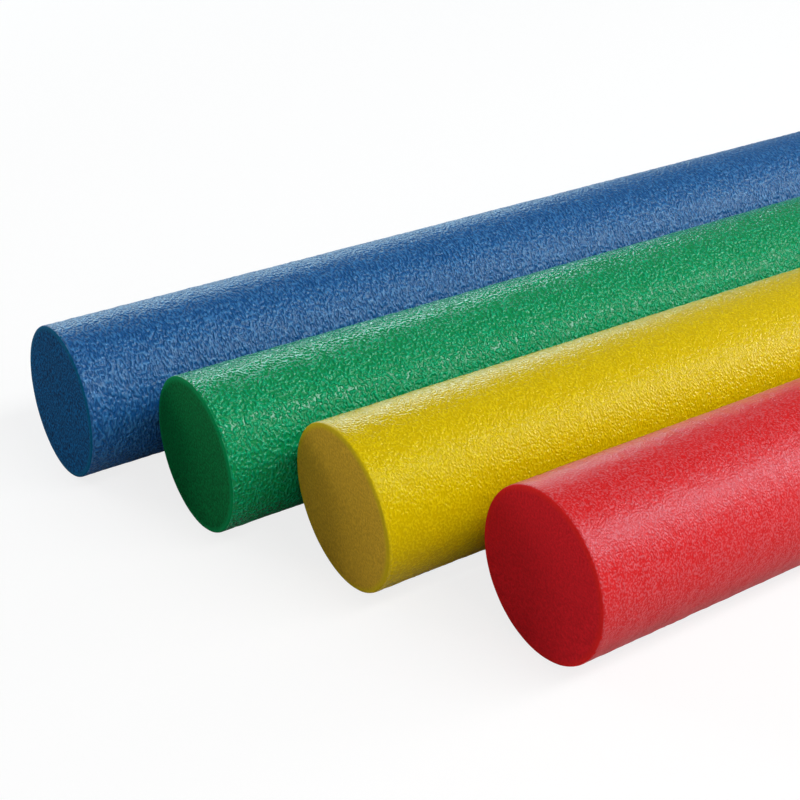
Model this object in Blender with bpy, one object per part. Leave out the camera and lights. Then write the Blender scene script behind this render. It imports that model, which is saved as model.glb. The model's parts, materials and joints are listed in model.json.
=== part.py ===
"""Four pool noodles that lie side by side on flat ground.

Each noodle is one solid round rod of extruded polyethylene foam. Its skin is the same foam,
closed by the die, and both of its ends are plain saw cuts that lean a little off square.

Metres, +Z up. +X runs along the noodles from their near ends to their far ends, and +Y runs
across them from the red noodle to the blue one. The origin lies on the ground, under the
middle of the box round the whole set.
"""

import math
from collections import namedtuple

import bmesh
import bpy
from mathutils import Matrix, Vector

# Length of every noodle, along its axis from cut to cut
NOODLE_LENGTH = 1.600

# Diameter of each noodle. The foam leaves the die a little thicker or thinner each time
BLUE_DIAMETER = 0.0700
GREEN_DIAMETER = 0.0687
YELLOW_DIAMETER = 0.0708
RED_DIAMETER = 0.0698

# Free air between two neighbours, level across from side to side
BLUE_GREEN_GAP = 0.0067
GREEN_YELLOW_GAP = 0.0026
YELLOW_RED_GAP = 0.0098

# How far each near end lies behind the near end of the noodle before it
GREEN_SETBACK = 0.0286
YELLOW_SETBACK = 0.0278
RED_SETBACK = 0.0361

# The saw drags the soft rim of a cut round by this radius
RIM_RADIUS = 0.0011

# How far a noodle's cuts lean, in degrees: towards +X at the +Y side, towards +X at the top
BLUE_LEAN = (-0.27, 2.16)
GREEN_LEAN = (0.19, 0.36)
YELLOW_LEAN = (1.01, -1.85)
RED_LEAN = (0.05, 0.55)

# Facets round a noodle, and facets across its eased rim
SIDES = 64
RIM_STEPS = 3
SMOOTH_BELOW = math.radians(40)

# The finish of the foam skin
SKIN_ROUGHNESS = 0.42

Noodle = namedtuple("Noodle", "name diameter gap setback lean colour")

# From the +Y side to the -Y side. gap and setback count from the noodle before
NOODLES = (
    Noodle("noodle_blue", BLUE_DIAMETER, 0, 0, BLUE_LEAN, (0.012, 0.110, 0.330)),
    Noodle("noodle_green", GREEN_DIAMETER, BLUE_GREEN_GAP, GREEN_SETBACK, GREEN_LEAN, (0.005, 0.270, 0.062)),
    Noodle("noodle_yellow", YELLOW_DIAMETER, GREEN_YELLOW_GAP, YELLOW_SETBACK, YELLOW_LEAN, (0.620, 0.430, 0.008)),
    Noodle("noodle_red", RED_DIAMETER, YELLOW_RED_GAP, RED_SETBACK, RED_LEAN, (0.600, 0.018, 0.030)),
)


def clear_objects():
    """Removes every object that the file holds."""
    for thing in list(bpy.data.objects):
        bpy.data.objects.remove(thing, do_unlink=True)


def axis_height(noodle):
    """How high the axis lies above the ground, with one flat facet of the rod face down."""
    return noodle.diameter / 2 * math.cos(math.pi / SIDES)


def cut_slopes(noodle):
    """How much a cut moves towards +X for each metre towards +Y, and for each metre up."""
    return [math.tan(math.radians(angle)) for angle in noodle.lean]


def cut_reach(noodle):
    """How far the leaning edge of a cut reaches past the cut's centre, along the axis."""
    flat_radius = noodle.diameter / 2 - RIM_RADIUS
    return flat_radius * math.hypot(*cut_slopes(noodle))


def lay_out():
    """The middle of each noodle, in the order of NOODLES, with the origin under the set's middle."""
    near_end = 0
    across = 0
    middles = []
    before = None
    for noodle in NOODLES:
        near_end += noodle.setback
        if before:
            across -= before.diameter / 2 + noodle.gap + noodle.diameter / 2
        middles.append(Vector((near_end + NOODLE_LENGTH / 2, across, axis_height(noodle))))
        before = noodle
    laid = list(zip(NOODLES, middles))
    lowest_x = min(middle.x - cut_reach(noodle) for noodle, middle in laid) - NOODLE_LENGTH / 2
    highest_x = max(middle.x + cut_reach(noodle) for noodle, middle in laid) + NOODLE_LENGTH / 2
    lowest_y = min(middle.y - noodle.diameter / 2 for noodle, middle in laid)
    highest_y = max(middle.y + noodle.diameter / 2 for noodle, middle in laid)
    centre = Vector(((lowest_x + highest_x) / 2, (lowest_y + highest_y) / 2, 0))
    return [middle - centre for middle in middles]


def foam_material(noodle):
    """The plain coloured foam, as a Principled material."""
    material = bpy.data.materials.new(noodle.name.replace("noodle", "foam"))
    material.use_nodes = True
    shader = material.node_tree.nodes["Principled BSDF"]
    shader.inputs["Base Color"].default_value = (*noodle.colour, 1)
    shader.inputs["Roughness"].default_value = SKIN_ROUGHNESS
    shader.inputs["Metallic"].default_value = 0
    return material


def extrude_rod(rod, noodle):
    """Fills the empty mesh rod with a round bar along X that runs a diameter past both cuts."""
    half_run = NOODLE_LENGTH / 2 + noodle.diameter
    stand_up = Matrix.Rotation(math.pi / 2, 4, "Y")
    facet_down = Matrix.Rotation(math.pi / SIDES, 4, "X")
    start = Matrix.Translation((-half_run, 0, 0)) @ facet_down @ stand_up
    circle = bmesh.ops.create_circle(
        rod, cap_ends=True, segments=SIDES, radius=noodle.diameter / 2, matrix=start
    )
    face = circle["verts"][0].link_faces[0]
    drawn = bmesh.ops.extrude_face_region(rod, geom=[face], use_keep_orig=True)
    moved = [part for part in drawn["geom"] if isinstance(part, bmesh.types.BMVert)]
    bmesh.ops.translate(rod, verts=moved, vec=(2 * half_run, 0, 0))


def saw_end(rod, noodle, way):
    """Saws the rod off at the end that lies towards way, -1 or 1 along X, and returns the rim's edges."""
    side_slope, top_slope = cut_slopes(noodle)
    outward = Vector((1, -side_slope, -top_slope)).normalized() * way
    cut = bmesh.ops.bisect_plane(
        rod,
        geom=rod.verts[:] + rod.edges[:] + rod.faces[:],
        plane_co=(way * NOODLE_LENGTH / 2, 0, 0),
        plane_no=outward,
        clear_outer=True,
    )
    rim = [part for part in cut["geom_cut"] if isinstance(part, bmesh.types.BMEdge)]
    bmesh.ops.edgeloop_fill(rod, edges=rim)
    return rim


def make_noodle(noodle, middle, parent):
    """One noodle: drawn as a round bar, sawn at both ends and eased at both rims."""
    rod = bmesh.new()
    extrude_rod(rod, noodle)
    rims = saw_end(rod, noodle, -1) + saw_end(rod, noodle, 1)
    bmesh.ops.bevel(
        rod, geom=rims, offset=RIM_RADIUS, segments=RIM_STEPS, profile=0.5, affect="EDGES"
    )
    bmesh.ops.recalc_face_normals(rod, faces=rod.faces[:])
    mesh = bpy.data.meshes.new(noodle.name)
    rod.to_mesh(mesh)
    rod.free()
    mesh.shade_smooth()
    mesh.set_sharp_from_angle(angle=SMOOTH_BELOW)
    mesh.materials.append(foam_material(noodle))
    thing = bpy.data.objects.new(noodle.name, mesh)
    thing.location = middle
    thing.parent = parent
    bpy.context.scene.collection.objects.link(thing)


def main():
    clear_objects()
    noodle_set = bpy.data.objects.new("noodle_set", None)
    bpy.context.scene.collection.objects.link(noodle_set)
    for noodle, middle in zip(NOODLES, lay_out()):
        make_noodle(noodle, middle, noodle_set)


main()
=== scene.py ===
"""The looks of four pool noodles: wrinkled foam skin, matt sawn ends, white studio and camera."""

import json
import math
from collections import namedtuple

import bpy
from mathutils import Matrix, Vector


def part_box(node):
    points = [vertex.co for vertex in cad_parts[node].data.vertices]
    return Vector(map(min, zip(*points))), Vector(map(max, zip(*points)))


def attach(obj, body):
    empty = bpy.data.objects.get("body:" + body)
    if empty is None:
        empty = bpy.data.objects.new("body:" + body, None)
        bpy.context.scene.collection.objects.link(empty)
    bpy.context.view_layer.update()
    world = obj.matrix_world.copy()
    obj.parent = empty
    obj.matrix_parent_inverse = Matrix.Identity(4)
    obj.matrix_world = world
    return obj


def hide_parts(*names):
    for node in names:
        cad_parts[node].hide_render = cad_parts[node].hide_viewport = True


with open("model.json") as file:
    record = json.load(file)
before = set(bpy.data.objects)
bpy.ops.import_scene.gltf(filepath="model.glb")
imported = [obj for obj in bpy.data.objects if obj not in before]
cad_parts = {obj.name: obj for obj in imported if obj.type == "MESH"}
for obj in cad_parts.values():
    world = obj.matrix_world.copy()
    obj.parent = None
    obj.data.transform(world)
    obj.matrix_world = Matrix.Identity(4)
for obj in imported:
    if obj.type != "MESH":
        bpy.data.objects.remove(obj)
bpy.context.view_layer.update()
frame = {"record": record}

# All lengths are in metres

# The mesh of a noodle: faces round it, rings along it, rings on a cut face, steps round its rim,
# and how close two points lie that are one
SIDES = 144
SKIN_RINGS = 1500
FACE_RINGS = 26
RIM_STEPS = 3
RIM_RADIUS = 0.0011
WELD = 0.00001

# Wrinkles of the skin: how deep, how far apart along the noodle, how much wider round it, and the
# detail and the twist of their noise
WRINKLE_DEPTH = 0.00030
WRINKLE_PITCH = 0.0036
WRINKLE_STRETCH = 1.7
WRINKLE_DETAIL = 1
WRINKLE_TWIST = 0.9

# From the rim of a cut, where the wrinkles start to rise and where they are whole, and the share
# of their depth that they have before that
CALM_START = 0.0010
CALM_END = 0.0080
CALM_SHARE = 0.25

# Cells of a cut face, as relief: how deep, how far apart, and the detail of their noise
CELL_DEPTH = 0.00012
CELL_PITCH = 0.0040
CELL_DETAIL = 2

# A noise stays close to a half, so this range of it is stretched to the whole from 0 to 1
NOISE_RANGE = (0.3, 0.7)

# A face whose normal has more than this along X belongs to a cut
CUT_FACING = 0.3

# The crinkle of a skin: its slow bends to a metre and how far they push it, how much it twists,
# the height of noise at which a ridge is whole, and the share of it that is left at a rim
BENDS_TO_A_METRE = 150
BEND_REACH = 0.0004
CRINKLE_TWIST = 0.3
RIDGE_TOP = 0.8
RIM_CRINKLE = 0.2

# Where a skin is worn: patches to a metre, their detail, and how far its roughness strays there
WEAR_TO_A_METRE = 90
WEAR_DETAIL = 2
WEAR_SPREAD = 0.03

# At a rim the skin is rougher by this much, which fades from this far to where the crinkle is whole
MATT_MORE = 0.2
MATT_RIM = 0.0004

# A cut face: how rough it is and how little it shines, its open cells to a metre, their detail
# and their depth as bump
CUT_ROUGHNESS = 0.9
CUT_SHINE = 0.05
CELLS_TO_A_METRE = 1000
FINE_CELL_DETAIL = 1
FINE_CELL_DEPTH = 0.0003

# How far the skin's colour shows in a cut face, from the rim inwards, and how strongly: partly
# the skin's own layer, partly a painted glow of light shining through the foam at its edge
RIM_PAINTED_GLOW = 0.0030
RIM_PAINTED_GLOW_SHARE = 0.8

# What differs from colour to colour.
# In the skin: the foam's pigment on its ridges, made paler there as a painted sheen, and in its
# hollows, made darker there as painted shade, and the range of the crinkle's height over which
# one passes into the other; the tint of its shine, seen square on, and its roughness; the crinkle's
# height, its folds to a metre along and round, the noise below which it is flat, how sharp its
# ridges are, and how far from a rim it is whole.
# In a cut: the pigment, the colour at the rim, which is the skin's and brighter than the cut as a
# painted glow, and how far the colour of the cells strays.
Foam = namedtuple(
    "Foam",
    "ridge hollow ridge_range shine roughness crinkle folds flats sharpness whole_from"
    " cut rim contrast",
)
FOAMS = {
    "blue": Foam(
        ridge=(0.030, 0.158, 0.396, 1),
        hollow=(0.003, 0.073, 0.252, 1),
        ridge_range=(0.43, 0.76),
        shine=(0.68, 0.84, 0.70, 1),
        roughness=0.37,
        crinkle=0.00070,
        folds=(1060, 560, 560),
        flats=0.2,
        sharpness=0.75,
        whole_from=0.0015,
        cut=(0.0005, 0.060, 0.170, 1),
        rim=(0.0010, 0.100, 0.205, 1),
        contrast=0.75,
    ),
    "green": Foam(
        ridge=(0.0004, 0.342, 0.136, 1),
        hollow=(0.0001, 0.236, 0.068, 1),
        ridge_range=(0.25, 0.6),
        shine=(0.56, 0.66, 0.72, 1),
        roughness=0.17,
        crinkle=0.00080,
        folds=(900, 690, 690),
        flats=0.32,
        sharpness=1.3,
        whole_from=0.0014,
        cut=(0.0002, 0.130, 0.032, 1),
        rim=(0.0005, 0.235, 0.068, 1),
        contrast=0.38,
    ),
    "yellow": Foam(
        ridge=(0.666, 0.501, 0.002, 1),
        hollow=(0.574, 0.410, 0.0003, 1),
        ridge_range=(0.4, 0.65),
        shine=(0.22, 0.34, 0.12, 1),
        roughness=0.20,
        crinkle=0.00026,
        folds=(1100, 880, 880),
        flats=0.25,
        sharpness=1.3,
        whole_from=0.0028,
        cut=(0.500, 0.300, 0.022, 1),
        rim=(0.540, 0.400, 0.006, 1),
        contrast=0.18,
    ),
    "red": Foam(
        ridge=(0.632, 0.076, 0.088, 1),
        hollow=(0.612, 0.008, 0.008, 1),
        ridge_range=(0.4, 0.85),
        shine=(0.22, 0.56, 0.68, 1),
        roughness=0.34,
        crinkle=0.00013,
        folds=(1450, 1200, 1200),
        flats=0.2,
        sharpness=1.0,
        whole_from=0.0012,
        cut=(0.580, 0.012, 0.019, 1),
        rim=(0.680, 0.016, 0.014, 1),
        contrast=0.15,
    ),
}

# The camera: place, then turn about the vertical from +Y, tilt down from level, and roll
CAMERA_PLACE = (-1.0406, -0.4637, 0.3464)
CAMERA_HEADING = math.radians(-33.085)
CAMERA_TILT = math.radians(27.912)
CAMERA_ROLL = math.radians(-0.837)
SENSOR_WIDTH = 36
LENS = 67.2

# The floor: its size, how far it lies under the noodles, and its tone, first for light that it
# scatters and then as the foam's shine mirrors it
FLOOR_SIZE = 14.0
FLOOR_DROP = 0.0002
FLOOR_TONE = 0.68
MIRRORED_TONE = 0.34
FLOOR_ROUGHNESS = 0.9

# The share of plain white in the floor as the camera sees it: under the noodles, and from where
# to where it rises to all
FLOOR_GLOW = 0.8
GLOW_RISE = (1.1, 2.0)

# The room's plain light, and each lamp's name, place, target, size, power and colour
ROOM_LIGHT = 0.18
WHITE = (1.0, 1.0, 1.0)
COOL = (0.66, 0.92, 1.0)
LAMPS = (
    ("softbox over the front", (-0.025, -1.03, 1.48), (-0.025, 0.0, 0.0), (1.55, 0.45), 24, WHITE),
    ("far softbox over the front", (1.375, -1.03, 1.48), (1.375, 0.0, 0.0), (1.25, 0.45), 12, WHITE),
    ("low softbox before", (-0.025, -1.47, 1.03), (-0.025, 0.0, 0.0), (1.55, 0.45), 3.6, WHITE),
    ("far low softbox before", (1.375, -1.47, 1.03), (1.375, 0.0, 0.0), (1.25, 0.45), 1.6, WHITE),
    ("softbox behind", (0.0, 2.26, 0.82), (0.0, 0.0, 0.05), (2.6, 0.5), 8, COOL),
    ("low softbox behind", (0.0, 2.38, 0.33), (0.0, 0.0, 0.05), (2.6, 0.5), 16, COOL),
    ("far end fill", (2.6, -1.0, 1.0), (0.0, 0.0, 0.0), (1.2, 1.2), 32, WHITE),
    ("near end fill behind", (-1.8, 2.0, 0.6), (-0.6, 0.0, 0.0), (1.2, 0.8), 24, WHITE),
    ("near end fill before", (-1.6, -1.8, 1.2), (-0.6, 0.0, 0.0), (1.2, 1.2), 5, WHITE),
)


def add(tree, kind, inputs=None, **settings):
    """A new node with its settings, and with inputs that are values or another node's outputs."""
    node = tree.nodes.new(kind)
    for name, value in settings.items():
        setattr(node, name, value)
    for name, value in (inputs or {}).items():
        if isinstance(value, bpy.types.NodeSocket):
            tree.links.new(value, node.inputs[name])
        else:
            node.inputs[name].default_value = value
    return node


def maths(tree, operation, *values):
    """The result of a Math node on one, two or three values."""
    return add(tree, "ShaderNodeMath", dict(enumerate(values)), operation=operation).outputs[0]


def vectors(tree, operation, *values):
    """The vector that comes of a Vector Math node on vectors."""
    return add(tree, "ShaderNodeVectorMath", dict(enumerate(values)), operation=operation).outputs[0]


def scaled(tree, vector, scale):
    """A vector times a number."""
    return add(tree, "ShaderNodeVectorMath", {0: vector, "Scale": scale}, operation="SCALE").outputs[0]


def dot(tree, one, other):
    """The dot product of two vectors."""
    node = add(tree, "ShaderNodeVectorMath", {0: one, 1: other}, operation="DOT_PRODUCT")
    return node.outputs["Value"]


def length(tree, vector):
    """The length of a vector."""
    return add(tree, "ShaderNodeVectorMath", {0: vector}, operation="LENGTH").outputs["Value"]


def along_x(tree, vector):
    """The X of a vector."""
    return add(tree, "ShaderNodeSeparateXYZ", {0: vector}).outputs["X"]


def joined(tree, **parts):
    """A vector with the given X, Y and Z, and 0 for each that isn't given."""
    return add(tree, "ShaderNodeCombineXYZ", parts).outputs[0]


def between(tree, value, low, high, to_low=0.0, to_high=1.0, course="LINEAR"):
    """Maps low to to_low and high to to_high, and holds the ends."""
    inputs = {"Value": value, "From Min": low, "From Max": high, "To Min": to_low, "To Max": to_high}
    return add(tree, "ShaderNodeMapRange", inputs, interpolation_type=course).outputs["Result"]


def blend(tree, share, first, second):
    """A number between two others."""
    inputs = {"Factor": share, 2: first, 3: second}
    return add(tree, "ShaderNodeMix", inputs, data_type="FLOAT").outputs[0]


def blend_colours(tree, share, first, second):
    """A colour between two others."""
    inputs = {"Factor": share, 6: first, 7: second}
    return add(tree, "ShaderNodeMix", inputs, data_type="RGBA").outputs[2]


def noise(tree, place, scale, detail=0, **more):
    """The grey output of a Noise Texture."""
    inputs = {"Vector": place, "Scale": scale, "Detail": detail} | more
    return add(tree, "ShaderNodeTexNoise", inputs).outputs[0]


def noodle_inputs(tree):
    """Gives the noodle tree its named inputs and returns their sockets by name."""
    kinds = {
        "Near End": "Vector",
        "Near Face": "Vector",
        "Far End": "Vector",
        "Far Face": "Vector",
        "Radius": "Float",
        "Rim Radius": "Float",
        "Sides": "Int",
        "Skin Rings": "Int",
        "Face Rings": "Int",
        "Rim Steps": "Int",
        "Weld": "Float",
        "Wrinkle Depth": "Float",
        "Wrinkle Pitch": "Float",
        "Wrinkle Stretch": "Float",
        "Calm Start": "Float",
        "Calm End": "Float",
        "Cell Depth": "Float",
        "Cell Pitch": "Float",
        "Seed": "Float",
        "Skin": "Material",
        "Cut Face": "Material",
    }
    for name, kind in kinds.items():
        tree.interface.new_socket(name, in_out="INPUT", socket_type="NodeSocket" + kind)
    tree.interface.new_socket("Mesh", in_out="OUTPUT", socket_type="NodeSocketGeometry")
    return add(tree, "NodeGroupInput").outputs


def whole_run(tree, given):
    """The distance from the middle of the near cut to the middle of the far one."""
    return length(tree, vectors(tree, "SUBTRACT", given["Far End"], given["Near End"]))


def rod_outline(tree, given):
    """The outline of half a rod, from one cut face's middle over the skin to the other's.

    Returns the sheet that is to be wound round the axis, each point's distance from the axis and
    along it, its share of the way along the skin, and its angle.
    """
    faces = given["Face Rings"]
    rims = given["Rim Steps"]
    skin = given["Skin Rings"]
    all_steps = maths(tree, "ADD", maths(tree, "MULTIPLY", maths(tree, "ADD", faces, rims), 2), skin)
    sheet = add(
        tree,
        "GeometryNodeMeshGrid",
        {
            "Size X": 1,
            "Size Y": 1,
            "Vertices X": maths(tree, "ADD", all_steps, 1),
            "Vertices Y": maths(tree, "ADD", given["Sides"], 1),
        },
    ).outputs["Mesh"]
    position = add(tree, "GeometryNodeInputPosition").outputs[0]
    place = add(tree, "ShaderNodeSeparateXYZ", {0: position}).outputs
    step = maths(tree, "MULTIPLY", maths(tree, "ADD", place["X"], 0.5), all_steps)
    angle = maths(tree, "MULTIPLY", place["Y"], -math.tau)

    start = 0
    shares = []
    for run in (faces, rims, skin, rims, faces):
        end = maths(tree, "ADD", start, run)
        shares.append(between(tree, step, start, end))
        start = end
    near_face, near_rim, along_skin, far_rim, far_face = shares
    near_turn = maths(tree, "MULTIPLY", near_rim, math.pi / 2)
    far_turn = maths(tree, "MULTIPLY", far_rim, math.pi / 2)

    rim = given["Rim Radius"]
    flat = maths(tree, "SUBTRACT", given["Radius"], rim)
    on_face = maths(tree, "MULTIPLY", flat, maths(tree, "SUBTRACT", near_face, far_face))
    rise = maths(tree, "ADD", maths(tree, "SINE", near_turn), maths(tree, "COSINE", far_turn))
    out = maths(tree, "MULTIPLY_ADD", maths(tree, "SUBTRACT", rise, 1), rim, on_face)

    between_rims = maths(tree, "MULTIPLY_ADD", rim, -2, whole_run(tree, given))
    straight = maths(tree, "MULTIPLY", between_rims, along_skin)
    near_set = maths(tree, "SUBTRACT", 1, maths(tree, "COSINE", near_turn))
    rim_set = maths(tree, "ADD", near_set, maths(tree, "SINE", far_turn))
    along = maths(tree, "MULTIPLY_ADD", rim_set, rim, straight)
    return sheet, out, along, along_skin, angle


def lean_shift(tree, spoke, face):
    """How far along X the leaning plane of a cut lies from its middle, at the end of a spoke."""
    slope = maths(tree, "DIVIDE", dot(tree, spoke, face), along_x(tree, face))
    return maths(tree, "MULTIPLY", slope, -1)


def wrinkle_depth(tree, given, place, from_cut):
    """How far the skin lies below the plain rod at a place: wrinkles that are calm beside a cut."""
    pitch = given["Wrinkle Pitch"]
    pitch_round = maths(tree, "MULTIPLY", pitch, given["Wrinkle Stretch"])
    pitches = joined(tree, X=pitch, Y=pitch_round, Z=pitch_round)
    wrinkles = noise(
        tree, vectors(tree, "DIVIDE", place, pitches), 1, WRINKLE_DETAIL, Distortion=WRINKLE_TWIST
    )
    hollow = maths(tree, "SUBTRACT", 1, between(tree, wrinkles, *NOISE_RANGE))
    calm = between(
        tree, from_cut, given["Calm Start"], given["Calm End"], CALM_SHARE, course="SMOOTHSTEP"
    )
    return maths(tree, "MULTIPLY", maths(tree, "MULTIPLY", hollow, calm), given["Wrinkle Depth"])


def cell_depth(tree, given, place):
    """How far a cut face lies below its plain plane at a place."""
    cells = noise(
        tree, scaled(tree, place, maths(tree, "DIVIDE", 1, given["Cell Pitch"])), 1, CELL_DETAIL
    )
    return maths(tree, "MULTIPLY", cells, given["Cell Depth"])


def foam_relief(tree, given, from_cut):
    """The push inwards that gives the plain rod its foam surface: wrinkles and cells."""
    position = add(tree, "GeometryNodeInputPosition").outputs[0]
    place = vectors(tree, "SUBTRACT", position, given["Near End"])
    seeded = vectors(tree, "ADD", place, joined(tree, X=given["Seed"]))
    facing = add(tree, "GeometryNodeInputNormal").outputs[0]
    share_cut = maths(tree, "ABSOLUTE", along_x(tree, facing))
    on_skin = wrinkle_depth(tree, given, seeded, from_cut)
    on_cut = cell_depth(tree, given, seeded)
    depth = blend(tree, share_cut, on_skin, on_cut)
    return scaled(tree, facing, maths(tree, "MULTIPLY", depth, -1))


def dressed(tree, given, rod):
    """The rod with smooth shading, as one mesh, with its skin's and its cuts' materials."""
    smooth = add(tree, "GeometryNodeSetShadeSmooth", {"Geometry": rod}).outputs[0]
    single = add(tree, "GeometryNodeRealizeInstances", {"Geometry": smooth}).outputs[0]
    skinned = add(tree, "GeometryNodeSetMaterial", {"Geometry": single, "Material": given["Skin"]})
    facing = add(tree, "GeometryNodeInputNormal").outputs[0]
    sawn = maths(tree, "GREATER_THAN", maths(tree, "ABSOLUTE", along_x(tree, facing)), CUT_FACING)
    inputs = {"Geometry": skinned.outputs[0], "Selection": sawn, "Material": given["Cut Face"]}
    return add(tree, "GeometryNodeSetMaterial", inputs).outputs[0]


def noodle_tree():
    """The node tree that makes one foam noodle from the middles and slants of its two cuts."""
    tree = bpy.data.node_groups.new("foam noodle", "GeometryNodeTree")
    given = noodle_inputs(tree)
    sheet, out, along, along_skin, angle = rod_outline(tree, given)
    across = maths(tree, "MULTIPLY", out, maths(tree, "COSINE", angle))
    up = maths(tree, "MULTIPLY", out, maths(tree, "SINE", angle))
    spoke = joined(tree, Y=across, Z=up)
    near_shift = lean_shift(tree, spoke, given["Near Face"])
    far_shift = lean_shift(tree, spoke, given["Far Face"])
    shift = blend(tree, along_skin, near_shift, far_shift)
    forward = joined(tree, X=maths(tree, "ADD", along, shift))
    place = vectors(tree, "ADD", vectors(tree, "ADD", given["Near End"], forward), spoke)

    to_far_cut = maths(tree, "SUBTRACT", whole_run(tree, given), along)
    along_from_cut = maths(tree, "MINIMUM", along, to_far_cut)
    inwards = maths(tree, "SUBTRACT", given["Radius"], out)
    kept = add(tree, "GeometryNodeCaptureAttribute", {"Geometry": sheet}, domain="POINT")
    kept.capture_items.new("FLOAT", "From Rim")
    tree.links.new(maths(tree, "MAXIMUM", along_from_cut, inwards), kept.inputs["From Rim"])
    from_cut = kept.outputs["From Rim"]
    wound = add(tree, "GeometryNodeSetPosition", {"Geometry": kept.outputs["Geometry"], "Position": place})
    merging = {"Geometry": wound.outputs[0], "Distance": given["Weld"]}
    closed = add(tree, "GeometryNodeMergeByDistance", merging)
    relief = foam_relief(tree, given, from_cut)
    noted = add(
        tree,
        "GeometryNodeStoreNamedAttribute",
        {"Geometry": closed.outputs[0], "Name": "from_rim", "Value": from_cut},
        data_type="FLOAT",
        domain="POINT",
    )
    worked = add(tree, "GeometryNodeSetPosition", {"Geometry": noted.outputs[0], "Offset": relief})
    add(tree, "NodeGroupOutput", {"Mesh": dressed(tree, given, worked.outputs[0])})
    return tree


def set_inputs(modifier, values):
    """Sets the inputs of a Geometry Nodes modifier by the sockets' names."""
    for socket in modifier.node_group.interface.items_tree:
        if socket.name in values:
            modifier[socket.identifier] = values[socket.name]


def make_noodle(colour, number, tree):
    """One foam noodle, wound round the line between the cuts of its CAD rod."""
    node = "noodle_" + colour
    low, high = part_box(node)
    mounts = {mount["name"]: mount for mount in frame["record"]["mounts"]}
    near_mount = mounts[colour + "_near_end"]
    far_mount = mounts[colour + "_far_end"]
    maker = bpy.data.objects.new("maker", bpy.data.meshes.new("maker"))
    bpy.context.scene.collection.objects.link(maker)
    modifier = maker.modifiers.new("foam", "NODES")
    modifier.node_group = tree
    set_inputs(
        modifier,
        {
            "Near End": near_mount["pos_m"],
            "Near Face": near_mount["axis"],
            "Far End": far_mount["pos_m"],
            "Far Face": far_mount["axis"],
            "Radius": (high.z - low.z) / 2,
            "Rim Radius": RIM_RADIUS,
            "Sides": SIDES,
            "Skin Rings": SKIN_RINGS,
            "Face Rings": FACE_RINGS,
            "Rim Steps": RIM_STEPS,
            "Weld": WELD,
            "Wrinkle Depth": WRINKLE_DEPTH,
            "Wrinkle Pitch": WRINKLE_PITCH,
            "Wrinkle Stretch": WRINKLE_STRETCH,
            "Calm Start": CALM_START,
            "Calm End": CALM_END,
            "Cell Depth": CELL_DEPTH,
            "Cell Pitch": CELL_PITCH,
            "Seed": float(number),
            "Skin": skin_material(colour),
            "Cut Face": cut_material(colour),
        },
    )
    graph = bpy.context.evaluated_depsgraph_get()
    mesh = bpy.data.meshes.new_from_object(maker.evaluated_get(graph))
    bpy.data.objects.remove(maker)
    mesh.materials.pop(index=0)
    mesh.name = "foam_" + colour
    piece = bpy.data.objects.new("foam_" + colour, mesh)
    bpy.context.scene.collection.objects.link(piece)
    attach(piece, colour)
    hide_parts(node)


def new_material(name):
    """A new node material: itself, its tree and its shader."""
    material = bpy.data.materials.new(name)
    material.use_nodes = True
    tree = material.node_tree
    shader = tree.nodes["Principled BSDF"]
    return material, tree, shader


def object_place(tree):
    """The place on the piece, in its own coordinates."""
    return add(tree, "ShaderNodeTexCoord").outputs["Object"]


def from_rim(tree):
    """The distance from the nearest rim, along the skin or inwards on a cut face."""
    return add(tree, "ShaderNodeAttribute", attribute_name="from_rim").outputs["Fac"]


def bent(tree, place):
    """The place pushed up to half of the reach each way by a slow noise, so that a pattern bends."""
    slow = {"Vector": place, "Scale": BENDS_TO_A_METRE, "Detail": 0}
    push = add(tree, "ShaderNodeTexNoise", slow).outputs["Color"]
    centred = vectors(tree, "SUBTRACT", push, (0.5, 0.5, 0.5))
    return vectors(tree, "ADD", place, scaled(tree, centred, BEND_REACH))


def add_bump(tree, shader, height, distance):
    """Gives a shader a bump whose height of 1 stands for the distance."""
    bump = add(tree, "ShaderNodeBump", {"Height": height, "Strength": 1, "Distance": distance})
    tree.links.new(bump.outputs["Normal"], shader.inputs["Normal"])


def skin_material(colour):
    """Crinkled foam skin, calm and matt by a cut, with painted shade in hollows and painted sheen on
    ridges.
    """
    foam = FOAMS[colour]
    material, tree, shader = new_material("skin " + colour)
    place = object_place(tree)
    folds = add(tree, "ShaderNodeMapping", {"Vector": bent(tree, place), "Scale": foam.folds}).outputs[0]
    swell = between(tree, noise(tree, folds, 1, Distortion=CRINKLE_TWIST), foam.flats, RIDGE_TOP)
    crinkle = maths(tree, "POWER", swell, foam.sharpness)
    calm = between(tree, from_rim(tree), 0, foam.whole_from, RIM_CRINKLE, 1)
    add_bump(tree, shader, maths(tree, "MULTIPLY", crinkle, calm), foam.crinkle)

    # Painted light: the ridges take a paler colour as sheen and the hollows a darker one as shade
    ridge = between(tree, swell, *foam.ridge_range)
    pigment_with_painted_sheen_and_shade = blend_colours(tree, ridge, foam.hollow, foam.ridge)
    tree.links.new(pigment_with_painted_sheen_and_shade, shader.inputs["Base Color"])
    wear = noise(tree, place, WEAR_TO_A_METRE, WEAR_DETAIL)
    least = foam.roughness - WEAR_SPREAD
    most = foam.roughness + WEAR_SPREAD
    worn = between(tree, wear, *NOISE_RANGE, least, most)
    matt = between(tree, from_rim(tree), MATT_RIM, foam.whole_from, MATT_MORE, 0)
    tree.links.new(maths(tree, "ADD", worn, matt), shader.inputs["Roughness"])
    shader.inputs["Specular Tint"].default_value = foam.shine
    return material


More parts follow.
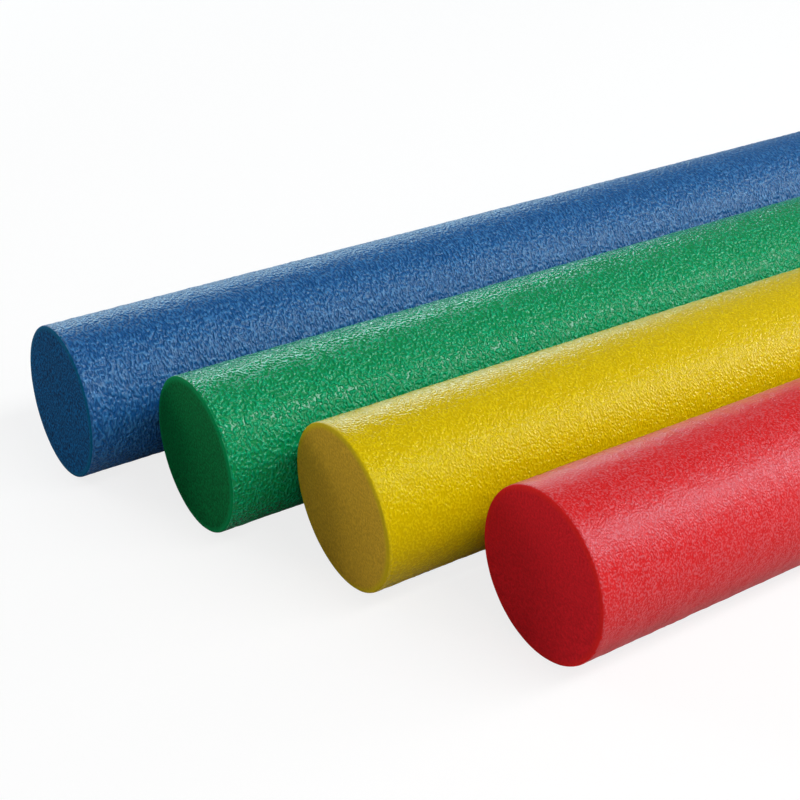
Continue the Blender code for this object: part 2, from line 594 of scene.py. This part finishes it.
def cut_material(colour):
    """The sawn foam: matt, with fine open cells, and the skin's colour along its rim as a painted glow."""
    foam = FOAMS[colour]
    material, tree, shader = new_material("cut " + colour)
    shader.inputs["Roughness"].default_value = CUT_ROUGHNESS
    shader.inputs["Specular IOR Level"].default_value = CUT_SHINE
    cells = noise(tree, object_place(tree), CELLS_TO_A_METRE, FINE_CELL_DETAIL)
    add_bump(tree, shader, cells, FINE_CELL_DEPTH)
    dark = [part * (1 - foam.contrast) for part in foam.cut[:3]] + [1]
    light = [part * (1 + foam.contrast) for part in foam.cut[:3]] + [1]
    grain = blend_colours(tree, between(tree, cells, *NOISE_RANGE), dark, light)
    # Painted glow: the skin's brighter colour blends in near the rim, where light shines through the foam
    glow = between(tree, from_rim(tree), RIM_RADIUS, RIM_PAINTED_GLOW, RIM_PAINTED_GLOW_SHARE, 0)
    grain_and_painted_rim_glow = blend_colours(tree, glow, grain, foam.rim)
    tree.links.new(grain_and_painted_rim_glow, shader.inputs["Base Color"])
    return material


def floor_material():
    """Grey in the light that the noodles get from it, darker in their shine, white to the camera."""
    material, tree, shader = new_material("white floor")
    rays = add(tree, "ShaderNodeLightPath").outputs
    tones = [(tone, tone, tone, 1) for tone in (FLOOR_TONE, MIRRORED_TONE)]
    lit = blend_colours(tree, rays["Is Glossy Ray"], *tones)
    shown = blend_colours(tree, rays["Is Camera Ray"], lit, (1, 1, 1, 1))
    tree.links.new(shown, shader.inputs["Base Color"])
    shader.inputs["Roughness"].default_value = FLOOR_ROUGHNESS
    shader.inputs["Specular IOR Level"].default_value = 0
    glow = add(tree, "ShaderNodeEmission", {"Color": (1, 1, 1, 1), "Strength": 1}).outputs[0]
    share = between(tree, length(tree, object_place(tree)), *GLOW_RISE, FLOOR_GLOW, 1)
    seen = maths(tree, "MULTIPLY", rays["Is Camera Ray"], share)
    mixed = add(tree, "ShaderNodeMixShader", {0: seen, 1: shader.outputs[0], 2: glow})
    tree.links.new(mixed.outputs[0], tree.nodes["Material Output"].inputs["Surface"])
    return material


def make_floor():
    """A white floor that keeps the noodles' shadow."""
    half = FLOOR_SIZE / 2
    corners = [(-half, -half, 0), (half, -half, 0), (half, half, 0), (-half, half, 0)]
    mesh = bpy.data.meshes.new("floor")
    mesh.from_pydata(corners, [], [(0, 1, 2, 3)])
    mesh.materials.append(floor_material())
    floor = bpy.data.objects.new("floor", mesh)
    floor.location.z = -FLOOR_DROP
    bpy.context.scene.collection.objects.link(floor)


def make_world():
    """A soft white room: plain light for the object, white behind it for the camera."""
    world = bpy.data.worlds.new("white room")
    bpy.context.scene.world = world
    world.use_nodes = True
    tree = world.node_tree
    back = tree.nodes["Background"]
    rays = add(tree, "ShaderNodeLightPath").outputs
    strength = between(tree, rays["Is Camera Ray"], 0, 1, ROOM_LIGHT, 1)
    tree.links.new(strength, back.inputs["Strength"])
    back.inputs["Color"].default_value = (1, 1, 1, 1)


def area_light(name, place, target, size, power, colour):
    """A softbox at place that points at target."""
    data = bpy.data.lights.new(name, "AREA")
    data.shape = "RECTANGLE"
    data.size, data.size_y = size
    data.energy = power
    data.color = colour
    light = bpy.data.objects.new(name, data)
    light.location = place
    aim = Vector(target) - Vector(place)
    light.rotation_euler = aim.to_track_quat("-Z", "Y").to_euler()
    light.visible_camera = False
    bpy.context.scene.collection.objects.link(light)


def make_camera():
    """The camera at the photographed angle."""
    data = bpy.data.cameras.new("camera")
    data.sensor_width = SENSOR_WIDTH
    data.lens = LENS
    camera = bpy.data.objects.new("camera", data)
    turn = (
        Matrix.Rotation(CAMERA_HEADING, 4, "Z")
        @ Matrix.Rotation(math.pi / 2 - CAMERA_TILT, 4, "X")
        @ Matrix.Rotation(CAMERA_ROLL, 4, "Z")
    )
    camera.matrix_world = Matrix.Translation(CAMERA_PLACE) @ turn
    bpy.context.scene.collection.objects.link(camera)
    bpy.context.scene.camera = camera


def main():
    bpy.context.scene.view_settings.view_transform = "Standard"
    make_camera()
    tree = noodle_tree()
    for number, colour in enumerate(FOAMS):
        make_noodle(colour, number, tree)
    make_floor()
    make_world()
    for lamp in LAMPS:
        area_light(*lamp)


main()
